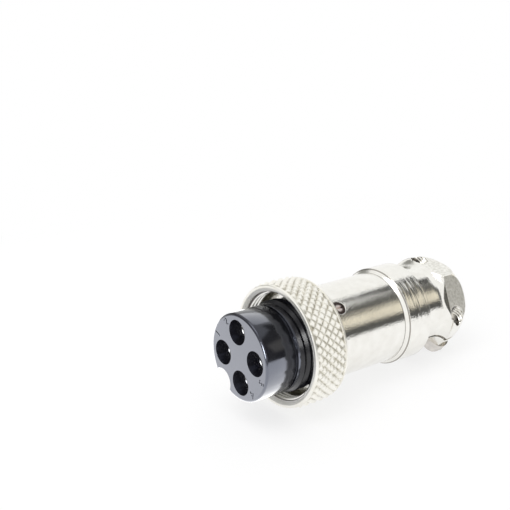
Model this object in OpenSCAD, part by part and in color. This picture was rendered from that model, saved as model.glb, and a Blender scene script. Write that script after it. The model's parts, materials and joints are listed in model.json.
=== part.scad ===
// Four-contact cable plug with a knurled coupling nut and a two-screw cable clamp.
// The plug's axis is X. The mating face lies at x = 0 and looks along -X.
// Contacts stand on the Y and Z axes. The clamp screws run along the diagonal
// between -Y and +Z, and the keyway is on the opposite side.

/* [Insulator] */
// Diameter of the smooth moulded nose
nose_d = 12.6; // [12.2:0.1:12.8]
// Length of the smooth nose in front of the threaded body
nose_len = 5.0; // [4:0.1:5.4]
// Rounding of the nose's front edge
nose_round = 0.35; // [0.1:0.05:0.6]
// Overall length of the moulded body
insulator_len = 17.0; // [16.4:0.1:18]
// Radius of the half-round keyway in the nose
keyway_r = 1.9; // [1.2:0.1:2.2]
// How far the keyway's centre lies inside the nose surface
keyway_inset = 0.1; // [0:0.1:0.6]
// Width of the relief groove between the nose and the threaded body
relief_w = 0.5; // [0.3:0.1:0.8]
// Depth of that groove below the nose
relief_depth = 0.35; // [0.2:0.05:0.5]

/* [Contacts] */
// Diameter of the circle the contacts stand on
contact_circle_d = 7.3; // [6.8:0.1:7.5]
// Outer diameter of a socket tube
contact_d = 3.0; // [2.7:0.1:3.1]
// Bore that takes the mating pin
contact_bore_d = 2.5; // [1.6:0.1:2.5]
// Depth of that bore
contact_bore_depth = 7.5; // [6:0.5:9]
// Depth of a socket's mouth behind the mating face
contact_recess = 1.9; // [1:0.1:2.2]
// Width of the two slots that split a socket
contact_slot = 0.35; // [0.2:0.05:0.6]
// Length of those slots
contact_slot_len = 5.5; // [3:0.5:6.5]
// Length of the solder cup behind the insulator
cup_len = 4.0; // [2.5:0.5:5]
// Wall of the solder cup
cup_wall = 0.35; // [0.25:0.05:0.6]
// Height above a contact's centre at which its cup is cut open
cup_cut = 0.3; // [0:0.1:0.6]

/* [Coupling nut] */
// Diameter over the points of the knurl
nut_d = 18.4; // [18:0.1:20]
// Length of the nut
nut_len = 5.8; // [5.4:0.1:8]
// Wall from the knurl's points to the bore, which is the thread's major diameter
nut_wall = 1.2; // [1.1:0.05:1.3]
// Chamfer at the nut's mouth
mouth_chamfer = 0.5; // [0.2:0.05:0.6]
// Width of the plain rim in front of the knurl
front_rim_w = 0.4; // [0.2:0.05:1]
// Width of the plain rim behind the knurl
rear_rim_w = 0.35; // [0.2:0.05:1]
// How far both rims stand above the grooves of the knurl
rim_rise = 0.12; // [0.11:0.01:0.2]
// Edge break on both rims
rim_break = 0.1; // [0.05:0.05:0.15]
// Depth of the knurl
knurl_depth = 0.42; // [0.2:0.02:0.44]
// Pyramids in one turn of the knurl
knurl_count = 44; // [30:1:50]
// Half rows of pyramids across the knurl
knurl_rows = 8; // [4:2:12]
// Thickness of the inner lip that pulls on the barrel
lip_t = 1.25; // [0.8:0.05:1.6]

/* [Barrel] */
// Radial room between the nut's bore and the stop flange
flange_room = 0.6; // [0.55:0.05:0.75]
// How far the stop flange stands above the front tube
flange_rise = 0.525; // [0.4:0.025:0.6]
// Thickness of the stop flange
flange_t = 1.35; // [0.8:0.05:2]
// Position of the flange's front face
flange_x = 9.5; // [9.1:0.1:10]
// Position of the step up to the rear section
step_x = 25.4; // [24:0.2:27]
// Length of the slope of that step
step_slope = 0.35; // [0.1:0.05:0.8]
// How far the rear section stands above the front tube
step_rise = 0.55; // [0.4:0.05:0.8]
// Position of the rear end of the rear section
rear_x = 30.5; // [29.5:0.1:31]
// Edge break on the flange and the rear section
edge_break = 0.25; // [0.1:0.05:0.3]
// Wall at the rear end of the rear section
rear_wall = 1.6; // [1:0.1:2.2]
// Wall of the hollow barrel around the insulator
barrel_wall = 0.6; // [0.5:0.05:0.7]

/* [Cable clamp] */
// Outer diameter of the half-round neck
neck_d = 12.0; // [11.6:0.1:12.2]
// Outer diameter of the clamp collar
collar_d = 14.5; // [14.2:0.1:15.2]
// Position of the middle of the clamp screws
clamp_x = 36.9; // [36.4:0.1:37.4]
// Full width of the collar in front of the screws
collar_front = 1.1; // [0.8:0.1:1.4]
// Collar length behind the screws
collar_rear = 2.7; // [2.4:0.1:3]
// Drop of the rounded rear edge
collar_drop = 1.8; // [1:0.1:2.2]
// Length of that rounded edge
collar_taper = 3.2; // [2:0.1:3.4]
// Length of the concave sweep from neck to collar
collar_sweep = 2.1; // [1.4:0.1:2.4]
// Metal between the cable bore and the outside of the collar
clamp_wall = 3.55; // [3.5:0.05:4]
// Depth of the two flats below the collar
flat_depth = 1.05; // [0.9:0.05:1.15]
// Angle between each flat's normal and the screw direction
flat_angle = 30; // [26:1:34]
// Gap between the two clamp halves
clamp_gap = 0.5; // [0.4:0.1:1]
// Distance of a clamp screw's axis from the outside of the collar
screw_inset = 1.85; // [1.8:0.05:1.9]
// Width of the cut behind the barrel that frees the saddle
saddle_cut = 2.4; // [1.6:0.1:3]
// Metal of the saddle between a screw head and the gap
seat_t = 1.75; // [1.7:0.05:2]

/* [Screws] */
// Thread diameter of a clamp screw and its tapped hole
screw_d = 2.5; // [2:0.1:2.6]
// Length of a clamp screw under its head
screw_len = 3.8; // [3.2:0.1:4.4]
// Head diameter of a clamp screw
head_d = 4.0; // [3.6:0.1:4.1]
// Head height of a clamp screw
head_h = 1.8; // [1.2:0.1:2]
// Width of a clamp screw's driver slot
slot_w = 0.6; // [0.4:0.05:0.8]
// Depth of that slot
slot_depth = 0.6; // [0.3:0.05:0.8]
// Diameter of the set screw that locks the insulator
set_d = 2.0; // [1.6:0.1:2.4]
// Position of the set screw along the plug
set_x = 14.4; // [14:0.1:15]
// How far the set screw lies below the barrel's surface
set_sink = 0.1; // [0.05:0.05:0.2]
// Width of the set screw's driver slot
set_slot_w = 0.3; // [0.2:0.05:0.4]
// Depth of that slot
set_slot_depth = 0.25; // [0.1:0.05:0.3]

/* [Clearances] */
// Room between a socket and its hole in the nose
contact_room = 0.3; // [0.15:0.05:0.35]
// Radial room of a contact in its seat
contact_play = 0.02; // [0.01:0.01:0.05]
// Radial room of the insulator in the barrel
insulator_play = 0.03; // [0.01:0.01:0.1]
// Radial room of the nut's lip on the front tube
nut_play = 0.08; // [0.02:0.01:0.1]
// End play between the nut's lip and the flange
lip_play = 0.06; // [0.02:0.01:0.2]
// Radial room of a screw in its tapped hole
screw_play = 0.04; // [0.02:0.01:0.1]
// Radial room of a clamp screw in the saddle
saddle_room = 0.15; // [0.1:0.05:0.25]
// Radial room around a screw head in the saddle
head_room = 0.2; // [0.1:0.05:0.25]

/* [Hidden] */
$fn = 96;
slack = 1; // how far a cutting solid reaches past what it cuts
arc_steps = 8; // straight pieces in a drawn quarter round
clamp_angle = 135; // the screws' direction, from +Y towards +Z
keyway_angle = clamp_angle - 180;

nose_r = nose_d / 2;
relief_r = nose_r - relief_depth;
contact_r = contact_d / 2;
contact_circle_r = contact_circle_d / 2;
contact_bore_end = contact_recess + contact_bore_depth; // the wide holes in the nose end here too

nut_r = nut_d / 2;
nut_bore_r = nut_r - nut_wall;
flange_r = nut_bore_r - flange_room;
front_r = flange_r - flange_rise;
rear_r = front_r + step_rise;
flange_back = flange_x + flange_t;
barrel_bore_r = front_r - barrel_wall;
body_r = barrel_bore_r - insulator_play;
chamber_end = rear_x - rear_wall;

nut_back = flange_back + lip_play + lip_t;
nut_front = nut_back - nut_len;
knurl_root_r = nut_r - knurl_depth;
rim_r = knurl_root_r + rim_rise;
knurl_under = 0.1; // how far the knurl's ends reach under the rims
core_drop = 0.05; // how far the turned core stays below the grooves
knurl_x0 = nut_front + front_rim_w - knurl_under;
knurl_x1 = nut_back - rear_rim_w + knurl_under;
core_r = knurl_root_r - core_drop;

neck_r = neck_d / 2;
collar_r = collar_d / 2;
collar_x0 = clamp_x - collar_front;
collar_x1 = clamp_x + collar_rear;
cable_r = collar_r - clamp_wall;
flat_reach = collar_r - flat_depth;
screw_side = collar_r - screw_inset;
saddle_x0 = rear_x + saddle_cut;
half_gap = clamp_gap / 2;
seat_z = -half_gap - seat_t;
screw_r = screw_d / 2;
head_r = head_d / 2;
set_r = set_d / 2;
set_top = front_r - set_sink;

// Turns a profile of [radius, x] points around the plug's axis.
module turned(points) {
    rotate([0, 90, 0]) rotate_extrude() polygon(points);
}

// A round bar along the plug's axis, from x0 to x1.
module bar(r, x0, x1) {
    translate([x0, 0, 0]) rotate([0, 90, 0]) cylinder(r = r, h = x1 - x0);
}

// Points of a round about [r, x], dr high and dx long, from angle a0 to a1.
function arc(r, x, dr, dx, a0, a1) =
    [for (i = [0:arc_steps]) let (a = a0 + (a1 - a0) * i / arc_steps)
        [r + dr * cos(a), x + dx * sin(a)]];

// Places its children at contact 1, 2, 3 or 4: on +Y, +Z, -Y or -Z.
module at_contact(n) {
    rotate([(n - 1) * 90, 0, 0]) translate([0, contact_circle_r, 0]) children();
}

// Turns its children so that their +Z looks along the clamp screws.
module along_clamp(x) {
    translate([x, 0, 0]) rotate([clamp_angle - 90, 0, 0]) children();
}

// Places its children on the axis of one clamp screw, side being 1 or -1.
module at_screw(side) {
    along_clamp(clamp_x) translate([0, side * screw_side, 0]) children();
}

module insulator() {
    color([0.13, 0.14, 0.16])
    difference() {
        turned(concat([[0, 0]],
            arc(nose_r - nose_round, nose_round, nose_round, nose_round, -90, 0),
            [[nose_r, nose_len], [relief_r, nose_len], [relief_r, nose_len + relief_w],
             [body_r, nose_len + relief_w], [body_r, insulator_len], [0, insulator_len]]));
        for (n = [1:4]) at_contact(n) {
            bar(contact_r + contact_room, -slack, contact_bore_end);
            bar(contact_r + contact_play, -slack, insulator_len + slack);
        }
        rotate([keyway_angle, 0, 0]) translate([0, nose_r - keyway_inset, 0])
            bar(keyway_r, -slack, nose_len + relief_w / 2);
    }
}

// One split socket with its solder cup, about the X axis.
module socket() {
    cup_x1 = insulator_len + cup_len;
    difference() {
        bar(contact_r, contact_recess, cup_x1);
        bar(contact_bore_d / 2, contact_recess - slack, contact_bore_end);
        translate([contact_recess - slack, -contact_d, -contact_slot / 2])
            cube([contact_slot_len + slack, 2 * contact_d, contact_slot]);
        bar(contact_r - cup_wall, insulator_len + cup_wall, cup_x1 + slack);
        translate([insulator_len + cup_len / 2, cup_cut, -contact_d])
            cube([cup_len, contact_d, 2 * contact_d]);
    }
}

module contact(n) {
    color([0.86, 0.80, 0.66]) at_contact(n) socket();
}

module contact_1() contact(1);
module contact_2() contact(2);
module contact_3() contact(3);
module contact_4() contact(4);

// A diamond knurl as one skin: its rows run around the nut, and along each row
// groove crossings and pyramid points take turns. The end rows lie under the rims.
module knurl() {
    around = 2 * knurl_count;
    function radius(row, m) =
        (row + m) % 2 == 0 || row == 0 || row == knurl_rows ? knurl_root_r : nut_r;
    function at(row, m) = row * around + m % around;
    points = [for (row = [0:knurl_rows], m = [0:around - 1])
        let (a = 360 * m / around, r = radius(row, m))
        [knurl_x0 + (knurl_x1 - knurl_x0) * row / knurl_rows, r * cos(a), r * sin(a)]];
    skin = [for (row = [0:knurl_rows - 1], m = [0:around - 1])
        each (row + m) % 2 == 0
            ? [[at(row, m), at(row + 1, m), at(row + 1, m + 1)],
               [at(row, m), at(row + 1, m + 1), at(row, m + 1)]]
            : [[at(row, m), at(row + 1, m), at(row, m + 1)],
               [at(row, m + 1), at(row + 1, m), at(row + 1, m + 1)]]];
    front = [for (m = [0:around - 1]) at(0, m)];
    back = [for (m = [0:around - 1]) at(knurl_rows, around - 1 - m)];
    polyhedron(points, concat(skin, [front, back]));
}

module coupling_nut() {
    color([0.88, 0.87, 0.82])
    difference() {
        union() {
            turned([[0, nut_front], [rim_r - rim_break, nut_front], [rim_r, nut_front + rim_break],
                    [rim_r, nut_front + front_rim_w], [core_r, nut_front + front_rim_w],
                    [core_r, nut_back - rear_rim_w], [rim_r, nut_back - rear_rim_w],
                    [rim_r, nut_back - rim_break], [rim_r - rim_break, nut_back], [0, nut_back]]);
            knurl();
        }
        turned([[0, nut_front - slack], [nut_bore_r + mouth_chamfer + slack, nut_front - slack],
                [nut_bore_r + mouth_chamfer, nut_front], [nut_bore_r, nut_front + mouth_chamfer],
                [nut_bore_r, nut_back - lip_t], [0, nut_back - lip_t]]);
        bar(front_r + nut_play, nut_front, nut_back + slack);
    }
}

// The turned outline that both clamp halves share, from x0 to the rear face:
// neck, concave sweep, full collar, long rounding down to the rear face.
module collar_blank(x0) {
    turned(concat([[0, x0], [neck_r, x0]],
        arc(collar_r, collar_x0 - collar_sweep, neck_r - collar_r, collar_sweep, 0, 90),
        arc(collar_r - collar_drop, collar_x1 - collar_taper, collar_drop, collar_taper, 0, 90),
        [[0, collar_x1]]));
}

// The half of the neck and collar that is one with the barrel.
module fixed_half() {
    difference() {
        intersection() {
            collar_blank(chamber_end);
            along_clamp(chamber_end) translate([0, -collar_d, half_gap])
                cube([collar_x1, 2 * collar_d, collar_d]);
        }
        for (side = [-1, 1]) rotate([clamp_angle - 90 + side * flat_angle, 0, 0])
            translate([collar_x0 - collar_sweep, -collar_d, flat_reach])
                cube([collar_x1, 2 * collar_d, collar_d]);
    }
}

module barrel() {
    color([0.80, 0.79, 0.76])
    difference() {
        union() {
            turned([[0, flange_x], [flange_r - edge_break, flange_x], [flange_r, flange_x + edge_break],
                    [flange_r, flange_back], [front_r, flange_back], [front_r, step_x],
                    [rear_r - edge_break, step_x + step_slope], [rear_r, step_x + step_slope + edge_break],
                    [rear_r, rear_x - edge_break], [rear_r - edge_break, rear_x], [0, rear_x]]);
            fixed_half();
        }
        bar(barrel_bore_r, flange_x - slack, chamber_end);
        bar(cable_r, flange_x, collar_x1 + slack);
        for (side = [-1, 1]) at_screw(side) cylinder(r = screw_r, h = collar_d);
        along_clamp(set_x) cylinder(r = set_r + screw_play, h = 2 * front_r);
    }
}

module set_screw() {
    color([0.80, 0.72, 0.68]) along_clamp(set_x)
    difference() {
        translate([0, 0, body_r]) cylinder(r = set_r, h = set_top - body_r);
        translate([-set_d, -set_slot_w / 2, set_top - set_slot_depth])
            cube([2 * set_d, set_slot_w, set_slot_depth + slack]);
    }
}

module clamp_saddle() {
    color([0.80, 0.79, 0.76])
    difference() {
        intersection() {
            collar_blank(saddle_x0);
            along_clamp(saddle_x0 - slack) translate([0, -collar_d, -collar_d - half_gap])
                cube([collar_x1, 2 * collar_d, collar_d]);
        }
        bar(cable_r, saddle_x0 - slack, collar_x1 + slack);
        for (side = [-1, 1]) at_screw(side) {
            translate([0, 0, -collar_d]) cylinder(r = screw_r + saddle_room, h = collar_d);
            translate([0, 0, seat_z - collar_d]) cylinder(r = head_r + head_room, h = collar_d);
        }
    }
}

module clamp_screw(side) {
    color([0.72, 0.71, 0.69]) at_screw(side) translate([0, 0, seat_z])
    difference() {
        union() {
            cylinder(r = screw_r - screw_play, h = screw_len);
            translate([0, 0, -head_h]) cylinder(r = head_r, h = head_h);
        }
        translate([-slot_w / 2, -head_d, -head_h - slack]) cube([slot_w, 2 * head_d, slot_depth + slack]);
    }
}

module clamp_screw_1() clamp_screw(1);
module clamp_screw_2() clamp_screw(-1);

insulator();
contact_1();
contact_2();
contact_3();
contact_4();
barrel();
set_screw();
coupling_nut();
clamp_saddle();
clamp_screw_1();
clamp_screw_2();
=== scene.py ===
import bpy
import bmesh
import json
import math
from mathutils import Matrix, Vector


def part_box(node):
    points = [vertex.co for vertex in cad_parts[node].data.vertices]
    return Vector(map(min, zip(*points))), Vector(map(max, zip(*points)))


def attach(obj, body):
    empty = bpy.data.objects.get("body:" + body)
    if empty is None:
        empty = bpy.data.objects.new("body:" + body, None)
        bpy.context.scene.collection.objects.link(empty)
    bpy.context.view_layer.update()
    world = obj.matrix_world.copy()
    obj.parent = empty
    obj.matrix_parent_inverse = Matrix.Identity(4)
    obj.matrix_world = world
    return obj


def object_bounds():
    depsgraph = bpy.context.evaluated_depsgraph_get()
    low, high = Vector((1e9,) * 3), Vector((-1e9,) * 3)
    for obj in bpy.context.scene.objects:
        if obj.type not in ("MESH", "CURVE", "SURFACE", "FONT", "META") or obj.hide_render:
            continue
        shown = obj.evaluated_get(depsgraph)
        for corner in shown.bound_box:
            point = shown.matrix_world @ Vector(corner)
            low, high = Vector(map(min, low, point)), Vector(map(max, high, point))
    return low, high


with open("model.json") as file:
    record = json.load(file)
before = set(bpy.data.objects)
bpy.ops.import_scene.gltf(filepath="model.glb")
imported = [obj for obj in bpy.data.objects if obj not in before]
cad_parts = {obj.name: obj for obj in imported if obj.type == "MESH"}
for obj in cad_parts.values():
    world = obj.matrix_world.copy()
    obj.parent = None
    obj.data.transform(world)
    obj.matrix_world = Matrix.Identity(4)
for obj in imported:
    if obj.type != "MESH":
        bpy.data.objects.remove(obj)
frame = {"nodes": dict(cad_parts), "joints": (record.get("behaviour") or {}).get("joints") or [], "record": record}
nodes = frame["nodes"]
mounts = {mount["name"]: mount for mount in frame["record"]["mounts"]}
cadLow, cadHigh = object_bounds()
mm = 0.001

# places that the frame gives, in metres; the plug's axis runs along X from its nose
plugAxis = Vector((1, 0, 0))
plugOrigin = Vector((0, 0, 0))
nutLow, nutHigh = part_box("coupling_nut")
nutRadius = nutHigh.z
nutBoreRadius = mounts["coupling_thread"]["dims"]["r_mm"] * mm
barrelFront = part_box("barrel")[0].x
noseMount = mounts["plug_nose"]
noseEnd = noseMount["pos_m"][0] + noseMount["dims"]["length_mm"] * mm / 2
clampJoints = [joint for joint in frame["joints"] if joint["name"].startswith("screw_")]
clampAxis = Vector(clampJoints[0]["axis"]).normalized()
clampX = clampJoints[0]["pos_m"][0]
print("frame loaded, plug length", round((cadHigh.x - cadLow.x) / mm, 2), "mm")

cameraView = {
    "position": Vector((-71.3, -101.73, 42.74)) * mm,
    "azimuth": 37.23,  # degrees from +Y towards +X, before the plug is rolled to its rest
    "elevation": 16.74,
    "tilt": -0.68,
    "plugRoll": 4.8,  # the plug lies rolled by this about its own axis
    "lens": 67.3,
    "sensor": 36,
    "clipStart": 0.005,
}


def buildCamera(view):
    azimuth, elevation, tilt = (math.radians(view[key]) for key in ("azimuth", "elevation", "tilt"))
    forward = Vector((math.sin(azimuth) * math.cos(elevation),
                      math.cos(azimuth) * math.cos(elevation), -math.sin(elevation)))
    right = Vector((math.cos(azimuth), -math.sin(azimuth), 0))
    up = right.cross(forward)
    side = math.cos(tilt) * right + math.sin(tilt) * up
    top = -math.sin(tilt) * right + math.cos(tilt) * up
    turn = Matrix((side, top, -forward)).transposed()
    roll = Matrix.Rotation(math.radians(view["plugRoll"]), 3, "X")
    data = bpy.data.cameras.new("camera")
    data.lens = view["lens"]
    data.sensor_width = view["sensor"]
    data.clip_start = view["clipStart"]
    camera = bpy.data.objects.new("camera", data)
    camera.matrix_world = Matrix.Translation(view["position"]) @ (roll @ turn).to_4x4()
    bpy.context.scene.collection.objects.link(camera)
    bpy.context.scene.camera = camera


buildCamera(cameraView)
print("camera ready")


def newMaterial(name):
    mat = bpy.data.materials.new(name)
    mat.use_nodes = True
    return mat, mat.node_tree, mat.node_tree.nodes["Principled BSDF"]


def addNode(tree, kind, **values):
    # each value goes to the node's own setting of that name or, if there is none, to its socket
    node = tree.nodes.new(kind)
    for key, value in values.items():
        if hasattr(node, key):
            setattr(node, key, value)
        else:
            node.inputs[key.replace("_", " ")].default_value = value
    return node


def coordinates(tree, kind):
    return addNode(tree, "ShaderNodeTexCoord").outputs[kind]


def maths(tree, operation, first, second=0.0):
    node = addNode(tree, "ShaderNodeMath", operation=operation)
    for socket, value in zip(node.inputs, (first, second)):
        if isinstance(value, (int, float)):
            socket.default_value = value
        else:
            tree.links.new(value, socket)
    return node.outputs["Value"]


def vectorMaths(tree, operation, value, other=None):
    node = addNode(tree, "ShaderNodeVectorMath", operation=operation)
    tree.links.new(value, node.inputs[0])
    if other is not None:
        node.inputs[1].default_value = other
    return node.outputs["Value" if operation in ("DOT_PRODUCT", "LENGTH") else "Vector"]


def objectPlace(tree, stretch=(1, 1, 1)):
    # the piece's own coordinates in millimetres, stretched along an axis where a finish has a grain
    return vectorMaths(tree, "MULTIPLY", coordinates(tree, "Object"), [share / mm for share in stretch])


def axisDistance(tree):
    # distance from the plug's axis in millimetres
    return vectorMaths(tree, "LENGTH", objectPlace(tree, (0, 1, 1)))


def alongPlug(tree):
    # distance along the plug's axis in metres
    split = addNode(tree, "ShaderNodeSeparateXYZ")
    tree.links.new(coordinates(tree, "Object"), split.inputs[0])
    return split.outputs["X"]


def noise(tree, place, scale, detail):
    node = addNode(tree, "ShaderNodeTexNoise", Scale=scale, Detail=detail)
    tree.links.new(place, node.inputs["Vector"])
    return node.outputs["Fac"]


def between(tree, value, low, high):
    # 0 at low and 1 at high
    node = addNode(tree, "ShaderNodeMapRange", From_Min=low, From_Max=high)
    tree.links.new(value, node.inputs["Value"])
    return node.outputs["Result"]


def spread(tree, value, low, high):
    # low at 0 and high at 1
    node = addNode(tree, "ShaderNodeMapRange", To_Min=low, To_Max=high)
    tree.links.new(value, node.inputs["Value"])
    return node.outputs["Result"]


def inSpan(tree, value, low, high):
    # 1 from low to high and 0 elsewhere
    above = maths(tree, "GREATER_THAN", value, low)
    return maths(tree, "MULTIPLY", above, maths(tree, "LESS_THAN", value, high))


def blendColours(tree, share, first, second):
    # first where share is 0 and second where it is 1
    node = addNode(tree, "ShaderNodeMix", data_type="RGBA")
    sockets = {socket.identifier: socket for socket in (*node.inputs, *node.outputs)}
    tree.links.new(share, sockets["Factor_Float"])
    for key, value in (("A_Color", first), ("B_Color", second)):
        if isinstance(value, tuple):
            sockets[key].default_value = (*value, 1)
        else:
            tree.links.new(value, sockets[key])
    return sockets["Result_Color"]


def blotches(tree, place, finish, span=(0.3, 0.7)):
    # a finish's two tones in soft blotches
    node = addNode(tree, "ShaderNodeValToRGB")
    for element, position, tone in zip(node.color_ramp.elements, span, ("colour", "pale")):
        element.position = position
        element.color = (*finish[tone], 1)
    tree.links.new(noise(tree, place, *finish["tones"]), node.inputs["Fac"])
    return node.outputs["Color"]


def bump(tree, height, depth, share=None, under=None):
    # share says where the bump shows, and under is the normal that it lies on
    node = addNode(tree, "ShaderNodeBump", Distance=depth)
    tree.links.new(height, node.inputs["Height"])
    if share is not None:
        tree.links.new(share, node.inputs["Strength"])
    if under is not None:
        tree.links.new(under, node.inputs["Normal"])
    return node.outputs["Normal"]


def glossAndGrain(tree, shader, place, finish):
    gloss = noise(tree, place, *finish["gloss"])
    tree.links.new(spread(tree, gloss, *finish["roughness"]), shader.inputs["Roughness"])
    grain = noise(tree, place, *finish["grain"])
    tree.links.new(bump(tree, grain, finish["grainDepth"]), shader.inputs["Normal"])


# in each finish, tones, gloss, grain, peel, lines and patches are a noise's scale per mm and its detail
flats = {  # the two milled flats of the clamp collar
    "reach": 6.2 * mm,
    "angle": 30,
    "start": 35.7 * mm,
    "facing": 0.992,  # a face this close to a flat's own direction is part of it, as a cosine
    "colour": (0.74, 0.73, 0.68),
    "pale": (0.95, 0.94, 0.90),
    "tones": (2.5, 4),
    "toneSpan": (0.35, 0.65),
    "duller": 0.33,  # added to the shell's roughness
    "grain": (3.5, 3),
    "grainDepth": 0.05 * mm,
}

shellFinish = {
    "colour": (0.86, 0.845, 0.80),
    "pale": (0.92, 0.91, 0.87),
    "tones": (0.6, 2),
    "gloss": (2.2, 3),
    "roughness": (0.05, 0.13),
    "peel": (4.5, 3),  # orange peel of the polished casting
    "peelDepth": 0.019 * mm,
    "lines": (2.1, 2),  # turning lines of the rear section
    "lineDepth": 0.08 * mm,
    "lineSpan": (25.8 * mm, 30.6 * mm),
    "lineStretch": (1, 0.04, 0.04),
    # painted shade: dark lines beside the polished step
    "stepLines": ((25.30 * mm, 25.42 * mm), (25.84 * mm, 25.98 * mm)),
    "stepColour": (0.36, 0.34, 0.31),
    "edge": 0.15 * mm,
    "edgeSamples": 6,
}


def flatMask(tree, along):
    # 1 on the two milled flats of the collar
    normal = coordinates(tree, "Normal")
    masks = []
    for side in (1, -1):
        tilt = math.radians(flats["angle"]) * side
        facing = math.cos(tilt) * clampAxis + math.sin(tilt) * clampAxis.cross(plugAxis)
        match = vectorMaths(tree, "DOT_PRODUCT", normal, facing)
        masks.append(maths(tree, "GREATER_THAN", match, flats["facing"]))
    either = maths(tree, "MAXIMUM", *masks)
    return maths(tree, "MULTIPLY", either, maths(tree, "GREATER_THAN", along, flats["start"]))


def shellMaterial():
    f = shellFinish
    mat, tree, shader = newMaterial("nickelShell")
    place = objectPlace(tree)
    along = alongPlug(tree)
    onFlat = flatMask(tree, along)
    shader.inputs["Metallic"].default_value = 1
    # painted shade in dark lines on each side of the step
    onStepShade = 0
    for low, high in f["stepLines"]:
        onStepShade = maths(tree, "MAXIMUM", onStepShade, inSpan(tree, along, low, high))
    plated = blendColours(tree, onStepShade, blotches(tree, place, f), f["stepColour"])
    milled = blotches(tree, place, flats, flats["toneSpan"])
    tree.links.new(blendColours(tree, onFlat, plated, milled), shader.inputs["Base Color"])
    gloss = spread(tree, noise(tree, place, *f["gloss"]), *f["roughness"])
    duller = maths(tree, "MULTIPLY", onFlat, flats["duller"])
    tree.links.new(maths(tree, "ADD", gloss, duller), shader.inputs["Roughness"])
    # rounded edges, orange peel all over, turning lines on the rear section, coarse grain on the flats
    rounded = addNode(tree, "ShaderNodeBevel", Radius=f["edge"], samples=f["edgeSamples"])
    peel = bump(tree, noise(tree, place, *f["peel"]), f["peelDepth"], under=rounded.outputs["Normal"])
    lines = noise(tree, objectPlace(tree, f["lineStretch"]), *f["lines"])
    turned = bump(tree, lines, f["lineDepth"], inSpan(tree, along, *f["lineSpan"]), peel)
    grain = bump(tree, noise(tree, place, *flats["grain"]), flats["grainDepth"], onFlat, turned)
    tree.links.new(grain, shader.inputs["Normal"])
    return mat


knurlFinish = {
    "colour": (0.94, 0.92, 0.85),
    "pale": (0.985, 0.97, 0.92),
    "tones": (0.8, 3),
    "gloss": (3.0, 2),
    "roughness": (0.30, 0.44),
    "grain": (6.0, 3),
    "grainDepth": 0.004 * mm,
    "dust": (0.50, 0.475, 0.40),  # painted shade between the points
    "dustRadii": (8.93, 8.78),  # unshaded out here and fully shaded down there, in mm
    "patches": (1.3, 2),
    "patchSpan": (0.68, 0.40),
    "rims": (0.55 * mm, 0.45 * mm),  # rims in front of and behind the points, kept free of the painted shade
    "mouthRadius": 8.50,  # the chamfered mouth is blasted matt out to this radius in mm
    "mouthDepth": 0.62 * mm,
}


def knurlMaterial():
    f = knurlFinish
    mat, tree, shader = newMaterial("nickelKnurl")
    place = objectPlace(tree)
    along = alongPlug(tree)
    radius = axisDistance(tree)
    outside = maths(tree, "GREATER_THAN", radius, f["mouthRadius"])
    behind = maths(tree, "GREATER_THAN", along, nutLow.x + f["mouthDepth"])
    tree.links.new(maths(tree, "MAXIMUM", outside, behind), shader.inputs["Metallic"])
    frontRim = maths(tree, "LESS_THAN", along, nutLow.x + f["rims"][0])
    rearRim = maths(tree, "GREATER_THAN", along, nutHigh.x - f["rims"][1])
    # painted shade in the hollows between the points, in patches, kept off the rims
    patches = between(tree, noise(tree, place, *f["patches"]), *f["patchSpan"])
    hollowShaded = maths(tree, "MULTIPLY", between(tree, radius, *f["dustRadii"]), patches)
    unshaded = maths(tree, "SUBTRACT", 1.0, hollowShaded)
    unshaded = maths(tree, "MAXIMUM", unshaded, maths(tree, "MAXIMUM", frontRim, rearRim))
    skin = blendColours(tree, unshaded, f["dust"], blotches(tree, place, f))
    tree.links.new(skin, shader.inputs["Base Color"])
    glossAndGrain(tree, shader, place, f)
    return mat


screwFinish = {
    "colour": (0.66, 0.63, 0.60),
    "pale": (0.78, 0.75, 0.71),
    "tones": (1.5, 2),
    "gloss": (4.0, 2),
    "roughness": (0.16, 0.30),
    "grain": (7.0, 2),
    "grainDepth": 0.004 * mm,
}

contactFinish = {
    "colour": (0.80, 0.76, 0.66),
    "pale": (0.95, 0.93, 0.88),
    "tones": (1.2, 3),
    "gloss": (5.0, 2),
    "roughness": (0.18, 0.34),
    "grain": (8.0, 2),
    "grainDepth": 0.003 * mm,
}


def metalMaterial(name, finish):
    mat, tree, shader = newMaterial(name)
    place = objectPlace(tree)
    shader.inputs["Metallic"].default_value = 1
    tree.links.new(blotches(tree, place, finish), shader.inputs["Base Color"])
    glossAndGrain(tree, shader, place, finish)
    return mat


grubFinish = {
    "colour": (0.84, 0.72, 0.68),
    "pale": (0.98, 0.91, 0.89),
    "tones": (1.5, 2),
    "gloss": (4.0, 2),
    "roughness": (0.22, 0.34),
    "grain": (5.0, 2),
    "grainDepth": 0.01 * mm,
    "rim": (0.09, 0.07, 0.065),  # painted shade where the screw meets its hole
    "rimSpan": (0.62 * mm, 0.42 * mm),
}


def grubMaterial():
    f = grubFinish
    mat, tree, shader = newMaterial("grubSteel")
    place = objectPlace(tree)
    shader.inputs["Metallic"].default_value = 1
    low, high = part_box("set_screw")
    middle = (low + high) / 2
    outward = Vector((0, middle.y, middle.z)).normalized()
    # distance from the grub screw's own axis
    offset = vectorMaths(tree, "SUBTRACT", coordinates(tree, "Object"), middle)
    fromMiddle = vectorMaths(tree, "LENGTH", vectorMaths(tree, "CROSS_PRODUCT", offset, outward))
    # painted shade in a ring at the screw's edge
    inside = between(tree, fromMiddle, *f["rimSpan"])
    skin = blendColours(tree, inside, f["rim"], blotches(tree, place, f))
    tree.links.new(skin, shader.inputs["Base Color"])
    glossAndGrain(tree, shader, place, f)
    return mat


noseFinish = {
    "colour": (0.002, 0.002, 0.003),
    "pale": (0.005, 0.005, 0.006),
    "tones": (0.5, 3),
    "gloss": (2.5, 3),
    "roughness": (0.11, 0.18),
    "grain": (5.0, 3),
    "grainDepth": 0.002 * mm,
    "ior": 1.66,
    "level": 0.5,
    "tint": (0.79, 0.84, 1.0),
}

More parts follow.
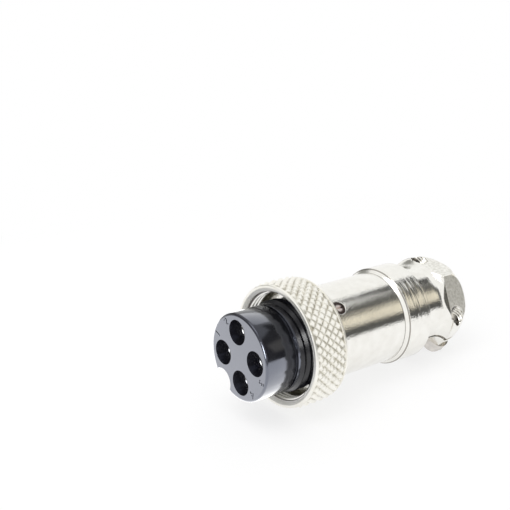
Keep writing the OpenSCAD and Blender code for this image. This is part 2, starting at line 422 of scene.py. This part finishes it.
# the screwed part of the insert is left as moulded, so it is deeper black than the nose
bodyThreadFinish = dict(noseFinish, tones=(0.8, 3), roughness=(0.16, 0.28), ior=1.45, level=0.18,
                        tint=(1, 1, 1))


def plasticMaterial(name, finish):
    mat, tree, shader = newMaterial(name)
    place = objectPlace(tree)
    shader.inputs["IOR"].default_value = finish["ior"]
    shader.inputs["Specular IOR Level"].default_value = finish["level"]
    shader.inputs["Specular Tint"].default_value = (*finish["tint"], 1)
    tree.links.new(blotches(tree, place, finish), shader.inputs["Base Color"])
    glossAndGrain(tree, shader, place, finish)
    return mat


nutThreadFinish = {
    "colour": (0.84, 0.83, 0.80),
    "gloss": (3.0, 2),
    "roughness": (0.10, 0.20),
    "grain": (3.0, 1),
    "grainDepth": 0.001 * mm,
    "root": (0.10, 0.09, 0.085),  # painted shade in the bottom of the thread
    "rootRadii": (7.86, 7.77),  # shaded out here and unshaded in there, in mm
    "mouthDepth": 0.48 * mm,  # the chamfered mouth is pale and matt this far in, with no painted shade
}


def nutThreadMaterial():
    f = nutThreadFinish
    mat, tree, shader = newMaterial("nickelNutThread")
    place = objectPlace(tree)
    inMouth = maths(tree, "LESS_THAN", alongPlug(tree), nutLow.x + f["mouthDepth"])
    # painted shade in the thread's roots, kept out of the mouth
    unshaded = maths(tree, "MAXIMUM", between(tree, axisDistance(tree), *f["rootRadii"]), inMouth)
    tree.links.new(blendColours(tree, unshaded, f["root"], f["colour"]), shader.inputs["Base Color"])
    tree.links.new(maths(tree, "SUBTRACT", 1.0, inMouth), shader.inputs["Metallic"])
    glossAndGrain(tree, shader, place, f)
    return mat


tapFinish = {
    "colour": (0.62, 0.60, 0.55),
    "pale": (0.86, 0.84, 0.79),
    "tones": (2.5, 2),
    "toneSpan": (0.35, 0.65),
    "gloss": (3.0, 2),
    "roughness": (0.20, 0.32),
    "grain": (6.0, 1),
    "grainDepth": 0.002 * mm,
    "dark": (0.035, 0.03, 0.028),  # the side of the hole that the light doesn't reach
    "litSpan": (-0.35 * mm, 0.55 * mm),  # from dark to lit, measured from the hole's axis
}


def tapMaterial():
    f = tapFinish
    mat, tree, shader = newMaterial("nickelTap")
    place = objectPlace(tree)
    shader.inputs["Metallic"].default_value = 1
    worn = blotches(tree, place, f, f["toneSpan"])
    lit = between(tree, alongPlug(tree), *(clampX + reach for reach in f["litSpan"]))
    tree.links.new(blendColours(tree, lit, f["dark"], worn), shader.inputs["Base Color"])
    glossAndGrain(tree, shader, place, f)
    return mat


shellMat = shellMaterial()
knurlMat = knurlMaterial()
screwMat = metalMaterial("screwSteel", screwFinish)
contactMat = metalMaterial("silverPlating", contactFinish)
grubMat = grubMaterial()
noseMat = plasticMaterial("blackPlastic", noseFinish)
nutThreadMat = nutThreadMaterial()
tapMat = tapMaterial()
bodyThreadMat = plasticMaterial("blackThread", bodyThreadFinish)
finishes = {
    "barrel": shellMat, "clamp_saddle": shellMat, "coupling_nut": knurlMat, "insulator": noseMat,
    "set_screw": grubMat, "clamp_screw_1": screwMat, "clamp_screw_2": screwMat,
    "contact_1": contactMat, "contact_2": contactMat, "contact_3": contactMat, "contact_4": contactMat,
}
for name, mat in finishes.items():
    nodes[name].data.materials.clear()
    nodes[name].data.materials.append(mat)
print("finishes on", len(finishes), "nodes")

# softened edges; the knurl's own small faces keep their plain shading
weldDistance = 0.0001 * mm
edgeSoftening = {
    "coupling_nut": {"width": 0.09 * mm, "angle": 18, "harden": False},
    "insulator": {"width": 0.07 * mm, "angle": 40, "harden": True},
    "clamp_screw_1": {"width": 0.05 * mm, "angle": 40, "harden": True},
    "clamp_screw_2": {"width": 0.05 * mm, "angle": 40, "harden": True},
}


def softenEdges(node, width, angle, harden):
    weld = node.modifiers.new("weld", "WELD")
    weld.merge_threshold = weldDistance
    bevel = node.modifiers.new("softEdge", "BEVEL")
    bevel.width = width
    bevel.segments = 2
    bevel.limit_method = "ANGLE"
    bevel.angle_limit = math.radians(angle)
    bevel.harden_normals = harden


for name, edges in edgeSoftening.items():
    softenEdges(nodes[name], **edges)
print("edges softened")

ridgeEnds = {
    "runIn": 3,  # the crest rises over one turn divided by this, at each end
    "fadeOut": 0.2 * mm,  # and sinks this far before the surface that cuts it off
    "leastCrest": 0.02,  # a trace of crest stays, so that no face closes up
    "sharpAngle": 35,
}


def threadRidge(name, origin, axis, start, end, thread, reach=None, widen=None):
    # one closed helical ridge, on a shaft if the crest is wider than the root, else in a bore
    root, crest, pitch, steps, sink = (thread[key] for key in ("root", "crest", "pitch", "steps", "sink"))
    halfRoot = thread["rootShare"] / 2
    halfCrest = thread["crestShare"] / 2
    across = axis.orthogonal().normalized()
    aside = axis.cross(across)
    outward = 1 if crest > root else -1
    total = int(((end - start) / pitch - thread["rootShare"]) * steps)
    runIn = steps / ridgeEnds["runIn"]
    profile = [(-halfRoot, root - outward * sink), (-halfRoot, root), (-halfCrest, crest),
               (halfCrest, crest), (halfRoot, root), (halfRoot, root - outward * sink)]
    mesh = bmesh.new()
    rings = []
    for i in range(total + 1):
        angle = 2 * math.pi * i / steps
        middle = start + pitch * (i / steps + halfRoot)
        rise = min(1.0, i / runIn, (total - i) / runIn)
        direction = math.cos(angle) * across + math.sin(angle) * aside
        ring = []
        for along, radius in profile:
            height = middle + along * pitch
            keep = rise
            if widen is not None:
                radius += widen(height)
            if reach is not None:
                spare = reach(direction) - height
                keep *= max(0.0, min(1.0, spare / ridgeEnds["fadeOut"]))
                height = min(height, reach(direction))
            if abs(along) == halfCrest:
                radius += (root - crest) * (1 - max(keep, ridgeEnds["leastCrest"]))
            ring.append(mesh.verts.new(origin + axis * height + direction * radius))
        rings.append(ring)
    for ring, following in zip(rings, rings[1:]):
        for k in range(len(ring)):
            after = (k + 1) % len(ring)
            mesh.faces.new((ring[k], ring[after], following[after], following[k]))
    mesh.faces.new(rings[0])
    mesh.faces.new(list(reversed(rings[-1])))
    bmesh.ops.recalc_face_normals(mesh, faces=mesh.faces)
    data = bpy.data.meshes.new(name)
    mesh.to_mesh(data)
    mesh.free()
    for face in data.polygons:
        face.use_smooth = True
    data.set_sharp_from_angle(angle=math.radians(ridgeEnds["sharpAngle"]))
    piece = bpy.data.objects.new(name, data)
    bpy.context.scene.collection.objects.link(piece)
    return piece


def dress(piece, mat, body):
    piece.data.materials.append(mat)
    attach(piece, body)
    return piece


bodyThread = {
    "root": 6.24 * mm,
    "crest": 6.62 * mm,
    "pitch": 1.0 * mm,
    "rootShare": 0.96,  # shares of the pitch that the ridge takes at its root and crest
    "crestShare": 0.12,
    "steps": 72,  # per turn
    "sink": 0.03 * mm,  # the ridge's foot lies this deep in the plain cylinder
    "lead": 0.5 * mm,
}
bodyThreadPiece = threadRidge("body_thread", plugOrigin, plugAxis, noseEnd + bodyThread["lead"],
                              barrelFront, bodyThread)
dress(bodyThreadPiece, bodyThreadMat, "shell")

nutThread = {
    "root": nutBoreRadius,
    "crest": 7.65 * mm,
    "pitch": 0.65 * mm,
    "rootShare": 0.98,
    "crestShare": 0.22,
    "steps": 96,
    "sink": 0.03 * mm,
    "lead": 0.04 * mm,
    "runOut": 0.1 * mm,
    "chamfer": 0.5 * mm,
}


def mouthChamfer(height):
    # how much wider the chamfered mouth is than the bore
    return max(0.0, nutLow.x + nutThread["chamfer"] - height)


nutThreadPiece = threadRidge("nut_thread", plugOrigin, plugAxis, nutLow.x + nutThread["lead"],
                             barrelFront - nutThread["runOut"], nutThread, widen=mouthChamfer)
dress(nutThreadPiece, nutThreadMat, "nut")

# the empty ends of the two tapped holes in the fixed clamp half
tapThread = {
    "root": 1.25 * mm,
    "crest": 1.04 * mm,
    "pitch": 0.45 * mm,
    "rootShare": 0.92,
    "crestShare": 0.18,
    "steps": 48,
    "sink": 0.02 * mm,
    "start": 2.25 * mm,  # clear of the screws' tips with the clamp closed
    "end": 5.4 * mm,
    "collarRadius": 7.1 * mm,
    "mouth": 0.08 * mm,
}


def insideCollar(side):
    # how far along its axis a tapped hole runs before it meets the flat or the collar's round
    lateral = clampAxis.cross(plugAxis) * side
    offset = Vector(clampJoints[0]["pos_m"][1:]).length
    tilt = math.radians(flats["angle"])

    def reach(direction):
        across = offset + direction.dot(lateral) * tapThread["root"]
        toFlat = (flats["reach"] - across * math.sin(tilt)) / math.cos(tilt)
        toRound = math.sqrt(tapThread["collarRadius"] ** 2 - across ** 2)
        return min(toFlat, toRound) - tapThread["mouth"]
    return reach


for joint, side in zip(clampJoints, (1, -1)):
    tapPiece = threadRidge("tap_" + joint["name"].split("_")[1], Vector(joint["pos_m"]), clampAxis,
                           tapThread["start"], tapThread["end"], tapThread, reach=insideCollar(side))
    dress(tapPiece, tapMat, "shell")
print("threads cut")

# raised contact numbers on the mating face, each beside its hole
numerals = {
    "size": 1.5 * mm,
    "height": 0.05 * mm,
    "bevel": 0.02 * mm,
    "radius": 5.3 * mm,
    "offset": 28,  # degrees from the nearer cross line of the face
}


def mouldedNumber(n, angle):
    name = "number_%d" % n
    curve = bpy.data.curves.new(name, "FONT")
    curve.body = str(n)
    curve.size = numerals["size"]
    curve.extrude = numerals["height"]
    curve.bevel_depth = numerals["bevel"]
    curve.align_x = "CENTER"
    curve.align_y = "CENTER"
    outline = bpy.data.objects.new(name, curve)
    bpy.context.scene.collection.objects.link(outline)
    # the face looks along -X; a number stands with its foot towards the plug's axis
    outward = Vector((0, math.cos(angle), math.sin(angle)))
    turn = Matrix((outward.cross(-plugAxis), outward, -plugAxis)).transposed().to_4x4()
    place = Matrix.Translation(outward * numerals["radius"]) @ turn
    depsgraph = bpy.context.evaluated_depsgraph_get()
    mesh = bpy.data.meshes.new_from_object(outline.evaluated_get(depsgraph))
    bpy.data.objects.remove(outline)
    solid = bpy.data.objects.new(name, mesh)
    solid.matrix_world = place
    bpy.context.scene.collection.objects.link(solid)
    return solid


offset = numerals["offset"]
numberPieces = []
for n, turn in enumerate((offset, 90 - offset, 180 + offset, 270 - offset), 1):
    numberPieces.append(dress(mouldedNumber(n, math.radians(turn)), noseMat, "shell"))
print("numbers moulded")

floorSet = {
    "radius": 0.115,
    "sides": 96,
    "fade": (0.060, 0.110),  # the disc melts into the white room between these distances
    "colour": (0.94, 0.94, 0.95),
    "roughness": 0.9,
    "lift": 0.74,  # share of plain white that the camera and the metal see, so a soft shadow stays
    "nutX": 11.8 * mm,  # the plug rests on its nut here
    "rearX": 36.6 * mm,  # and on its clamp here
    "rearRadius": 7.4 * mm,
}


def buildFloor():
    f = floorSet
    down = Matrix.Rotation(math.radians(cameraView["plugRoll"]), 3, "X") @ Vector((0, 0, -1))
    front = plugAxis * f["nutX"] + down * nutRadius
    rear = plugAxis * f["rearX"] + down * f["rearRadius"]
    along = (rear - front).normalized()
    across = along.cross(down).normalized()
    normal = along.cross(across)
    turn = Matrix((along, normal.cross(along), normal)).transposed().to_4x4()
    data = bpy.data.meshes.new("floor")
    angles = [2 * math.pi * i / f["sides"] for i in range(f["sides"])]
    corners = [(f["radius"] * math.cos(angle), f["radius"] * math.sin(angle), 0) for angle in angles]
    data.from_pydata(corners, [], [range(f["sides"])])
    floor = bpy.data.objects.new("floor", data)
    floor.matrix_world = Matrix.Translation(front) @ turn
    bpy.context.scene.collection.objects.link(floor)
    mat, tree, shader = newMaterial("paleFloor")
    shader.inputs["Base Color"].default_value = (*f["colour"], 1)
    shader.inputs["Roughness"].default_value = f["roughness"]
    shader.inputs["Specular IOR Level"].default_value = 0
    glow = addNode(tree, "ShaderNodeEmission", Strength=1.0, Color=(1, 1, 1, 1))
    path = addNode(tree, "ShaderNodeLightPath")
    seen = maths(tree, "MAXIMUM", path.outputs["Is Camera Ray"], path.outputs["Is Glossy Ray"])
    edge = between(tree, vectorMaths(tree, "LENGTH", coordinates(tree, "Object")), *f["fade"])
    share = maths(tree, "MULTIPLY", seen, maths(tree, "MAXIMUM", edge, f["lift"]))
    mix = addNode(tree, "ShaderNodeMixShader")
    tree.links.new(share, mix.inputs["Fac"])
    tree.links.new(shader.outputs[0], mix.inputs[1])
    tree.links.new(glow.outputs[0], mix.inputs[2])
    tree.links.new(mix.outputs[0], tree.nodes["Material Output"].inputs["Surface"])
    floor.data.materials.append(mat)
    return front, normal


floorMiddle, floorNormal = buildFloor()

# the room that the metal reflects: a white tent with one tall opening at the front right
room = {
    "white": (1.0, 1.0, 0.99),
    "wall": (0.80, 0.745, 0.62),
    "shade": (0.10, 0.10, 0.095),
    "dusk": (0.13, 0.128, 0.12),
    "night": (0.03, 0.03, 0.029),
    "back": (0.30, 0.30, 0.285),
    # heights in the opening, from 0 at the floor's horizon to 1 overhead
    "wallFoot": (0.13, 0.22),
    "wallTop": (0.42, 0.54),
    "ceiling": (0.665, 0.705),
    "nightLift": 0.06,  # the ceiling starts this much higher over the night panel
    # the middle of each panel in degrees from +X, and the cosines from it where it begins and is full
    "opening": (-29.5, 0.783, 0.829),
    "wallPanel": (-20, 0.857, 0.870),
    "nightPanel": (14, 0.88, 0.96),
    # a paler panel behind, which shapes the metal for the other views
    "backPanel": (115, 0.53, 0.77),
    "backFoot": (0.10, 0.22),
    "backTop": (0.60, 0.46),
}


def panelShare(tree, direction, rise, panel):
    # 1 inside a panel and 0 outside, with the same angle to the side at every height
    azimuth, begins, full = panel
    turn = math.radians(azimuth)
    middle = Vector((math.cos(turn), math.sin(turn), 0))
    middle = (middle - floorNormal * middle.dot(floorNormal)).normalized()
    towards = vectorMaths(tree, "DOT_PRODUCT", direction, middle)
    justOverOne = 1.0001  # keeps the root real straight overhead
    level = maths(tree, "SQRT", maths(tree, "SUBTRACT", justOverOne, maths(tree, "MULTIPLY", rise, rise)))
    return between(tree, maths(tree, "DIVIDE", towards, level), begins, full)


def buildWorld():
    world = bpy.data.worlds.new("tent")
    bpy.context.scene.world = world
    world.use_nodes = True
    tree = world.node_tree
    tree.nodes.clear()
    direction = coordinates(tree, "Generated")
    rise = vectorMaths(tree, "DOT_PRODUCT", direction, floorNormal)
    panels = ("opening", "wallPanel", "nightPanel", "backPanel")
    shares = [panelShare(tree, direction, rise, room[key]) for key in panels]
    opening, wallPanel, nightPanel, backPanel = shares
    # the opening from the floor up: shade, wall, dusk or night, and the white ceiling
    wall = blendColours(tree, wallPanel, room["shade"], room["wall"])
    dusk = blendColours(tree, nightPanel, room["dusk"], room["night"])
    ceilingRise = maths(tree, "SUBTRACT", rise, maths(tree, "MULTIPLY", nightPanel, room["nightLift"]))
    seen = blendColours(tree, between(tree, rise, *room["wallFoot"]), room["shade"], wall)
    seen = blendColours(tree, between(tree, rise, *room["wallTop"]), seen, dusk)
    seen = blendColours(tree, between(tree, ceilingRise, *room["ceiling"]), seen, room["white"])
    seen = blendColours(tree, opening, room["white"], seen)
    aboveFoot = between(tree, rise, *room["backFoot"])
    band = maths(tree, "MULTIPLY", aboveFoot, between(tree, rise, *room["backTop"]))
    seen = blendColours(tree, maths(tree, "MULTIPLY", band, backPanel), seen, room["back"])
    tent = addNode(tree, "ShaderNodeBackground", Strength=1.0)
    tree.links.new(seen, tent.inputs["Color"])
    # the camera sees plain white
    plain = addNode(tree, "ShaderNodeBackground", Strength=1.0, Color=(1, 1, 1, 1))
    pick = addNode(tree, "ShaderNodeMixShader")
    tree.links.new(addNode(tree, "ShaderNodeLightPath").outputs["Is Camera Ray"], pick.inputs["Fac"])
    tree.links.new(tent.outputs[0], pick.inputs[1])
    tree.links.new(plain.outputs[0], pick.inputs[2])
    tree.links.new(pick.outputs[0], addNode(tree, "ShaderNodeOutputWorld").inputs["Surface"])


buildWorld()

blackPieces = [nodes["insulator"], *numberPieces]
contacts = [nodes["contact_%d" % n] for n in (1, 2, 3, 4)]
lamps = {
    "keyLight": {
        "place": Vector((-0.12, -0.05, 0.30)), "aim": (cadLow + cadHigh) / 2, "size": 0.20, "power": 0.32,
        "skips": [nodes["coupling_nut"]],
    },
    # light off the bright floor, which the black plastic mirrors
    "floorBounce": {
        "place": floorMiddle + floorNormal * 0.3 * mm, "aim": floorMiddle + floorNormal, "size": 0.16,
        "power": 0.23, "only": [*blackPieces, bodyThreadPiece],
    },
    "rimLight": {
        "place": Vector((-0.122, -0.082, 0.030)), "aim": plugOrigin, "size": 0.06, "power": 0.42,
        "only": [*blackPieces, bodyThreadPiece, *contacts],
    },
    # the white ceiling behind the plug, which the top of the nose mirrors
    "ceilingLight": {
        "place": Vector((0.145, 0.105, 0.180)), "aim": plugOrigin, "size": 0.16, "power": 0.15,
        "only": blackPieces,
    },
}


def softbox(name, place, aim, size, power, only=(), skips=()):
    # a square lamp that reaches only some pieces, or all but some
    data = bpy.data.lights.new(name, "AREA")
    data.size = size
    data.energy = power
    lamp = bpy.data.objects.new(name, data)
    turn = (aim - place).to_track_quat("-Z", "Y").to_matrix().to_4x4()
    lamp.matrix_world = Matrix.Translation(place) @ turn
    lamp.visible_camera = False
    bpy.context.scene.collection.objects.link(lamp)
    group = bpy.data.collections.new(name + "Pieces")
    for piece in (*only, *skips):
        group.objects.link(piece)
    if skips:
        for item in group.collection_objects:
            item.light_linking.link_state = "EXCLUDE"
    lamp.light_linking.receiver_collection = group


for name, lamp in lamps.items():
    softbox(name, **lamp)
print("stage set")

bpy.context.scene.view_settings.view_transform = "Standard"
